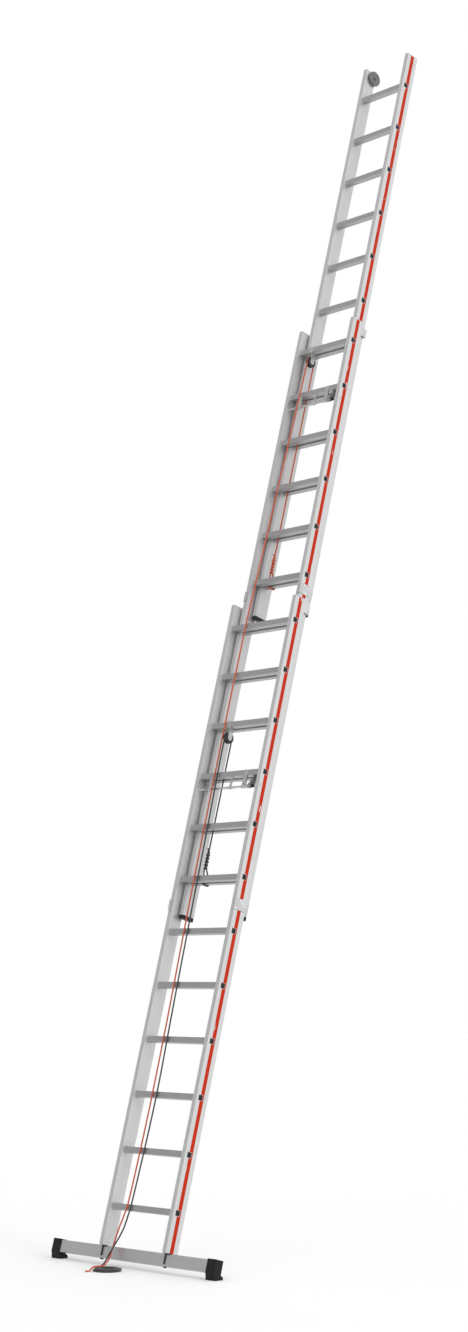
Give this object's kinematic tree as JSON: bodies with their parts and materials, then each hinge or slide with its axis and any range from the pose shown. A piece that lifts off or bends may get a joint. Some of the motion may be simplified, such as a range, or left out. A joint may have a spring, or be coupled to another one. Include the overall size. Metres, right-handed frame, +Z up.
{
  "type": "extension ladder",
  "caption": "Rope-operated extension ladder in nested sliding sections, with a foot crossbar, hooking latches and wall rollers.",
  "frame": {"origin": "on the floor, midway between the two feet under the crossbar", "axes": "+Z up, +X along the rungs to the right as the climber faces the ladder, +Y towards the wall that the ladder leans on; the ladder is set at its working angle of 75 degrees, fully extended"},
  "size_m": [1.204, 2.2087, 6.6764],
  "materials": {
    "stile_aluminium": "satin extruded aluminium with a printed red stripe",
    "rung_aluminium": "satin extruded",
    "crossbar_aluminium": "satin extruded",
    "grey_fitting": "cast grey fitting",
    "black_plastic": "moulded",
    "foot_rubber": "moulded rubber",
    "black_steel": "black coated",
    "zinc_steel": "zinc plated",
    "latch_alloy": "cast grey",
    "pulley_plastic": "moulded",
    "roller_plastic": "moulded",
    "black_rope": "braided",
    "red_rope": "braided"
  },
  "bodies": {
    "base_section": {"base_stile_left": "stile_aluminium", "base_stile_right": "stile_aluminium", "base_rungs": "rung_aluminium", "base_rung_plugs": "black_plastic", "base_foot_blocks": "crossbar_aluminium", "crossbar": "crossbar_aluminium", "crossbar_bolts": "black_steel", "crossbar_hooks": "black_steel", "foot_left": "foot_rubber", "foot_right": "foot_rubber", "base_top_caps": "grey_fitting", "base_upper_guides": "grey_fitting", "base_guide_pads": "black_plastic", "base_screws": "zinc_steel", "lower_pulley_bracket": "zinc_steel", "lower_pulley_axle": "zinc_steel", "lower_latch_hangers": "zinc_steel", "rope_coil": "black_rope", "black_rope": "black_rope", "red_rope": "red_rope", "red_span": "red_rope"},
    "middle_section": {"middle_stile_left": "stile_aluminium", "middle_stile_right": "stile_aluminium", "middle_rungs": "rung_aluminium", "middle_rung_plugs": "black_plastic", "middle_bottom_plugs": "black_plastic", "middle_lower_guides": "grey_fitting", "middle_top_caps": "grey_fitting", "middle_upper_guides": "grey_fitting", "middle_guide_pads": "black_plastic", "middle_screws": "zinc_steel", "upper_pulley_bracket": "zinc_steel", "upper_pulley_axle": "zinc_steel", "upper_latch_hangers": "zinc_steel", "black_hoist": "black_rope", "black_knot": "black_rope", "red_wrap": "red_rope"},
    "top_section": {"top_stile_left": "stile_aluminium", "top_stile_right": "stile_aluminium", "top_rungs": "rung_aluminium", "top_rung_plugs": "black_plastic", "top_bottom_plugs": "black_plastic", "top_lower_guides": "grey_fitting", "top_end_caps": "grey_fitting", "top_screws": "zinc_steel", "roller_axles": "zinc_steel", "roller_spacers": "black_plastic", "red_hoist": "red_rope", "red_knot": "red_rope"},
    "lower_pulley": {"lower_pulley_wheel": "pulley_plastic"},
    "upper_pulley": {"upper_pulley_wheel": "pulley_plastic"},
    "lower_latch": {"lower_latch_shaft": "zinc_steel", "lower_latch_pawls": "latch_alloy", "lower_latch_spring": "black_steel"},
    "upper_latch": {"upper_latch_shaft": "zinc_steel", "upper_latch_pawls": "latch_alloy", "upper_latch_spring": "black_steel"},
    "wall_roller_left": {"wall_roller_left": "roller_plastic"},
    "wall_roller_right": {"wall_roller_right": "roller_plastic"}
  },
  "joints": [
    {"name": "middle_slide", "type": "slide", "parent": "base_section", "child": "middle_section", "axis": [0, 0.2588, 0.9659], "range_m": [-1.68, 0], "deforming": ["red_span", "black_hoist"]},
    {"name": "top_slide", "type": "slide", "parent": "middle_section", "child": "top_section", "axis": [0, 0.2588, 0.9659], "range_m": [-1.68, 0], "deforming": ["red_hoist"]},
    {"name": "lower_pulley_spin", "type": "hinge", "parent": "base_section", "child": "lower_pulley", "pos_m": [-0.089, 0.6962, 2.64171], "axis": [1, 0, 0], "range_deg": [-3850, 60]},
    {"name": "upper_pulley_spin", "type": "hinge", "parent": "middle_section", "child": "upper_pulley", "pos_m": [-0.099, 1.32329, 4.7927], "axis": [1, 0, 0], "range_deg": [-3850, 60]},
    {"name": "lower_latch_swing", "type": "hinge", "parent": "base_section", "child": "lower_latch", "pos_m": [0, 0.60988, 2.36979], "axis": [1, 0, 0], "range_deg": [-9, 0], "stiffness_Nm_per_rad": 0.6, "springref_deg": 51.57},
    {"name": "upper_latch_swing", "type": "hinge", "parent": "middle_section", "child": "upper_latch", "pos_m": [0, 1.23697, 4.52078], "axis": [1, 0, 0], "range_deg": [-9, 0], "stiffness_Nm_per_rad": 0.6, "springref_deg": 51.57},
    {"name": "left_roller_spin", "type": "hinge", "parent": "top_section", "child": "wall_roller_left", "pos_m": [-0.14, 1.89794, 6.62438], "axis": [1, 0, 0], "continuous": true},
    {"name": "right_roller_spin", "type": "hinge", "parent": "top_section", "child": "wall_roller_right", "pos_m": [0.14, 1.89794, 6.62438], "axis": [1, 0, 0], "continuous": true}
  ],
  "couplings": [
    {"joint": "lower_pulley_spin", "follows": "middle_slide", "rad_per_m": 39.37},
    {"joint": "upper_pulley_spin", "follows": "top_slide", "rad_per_m": 39.37}
  ]
}
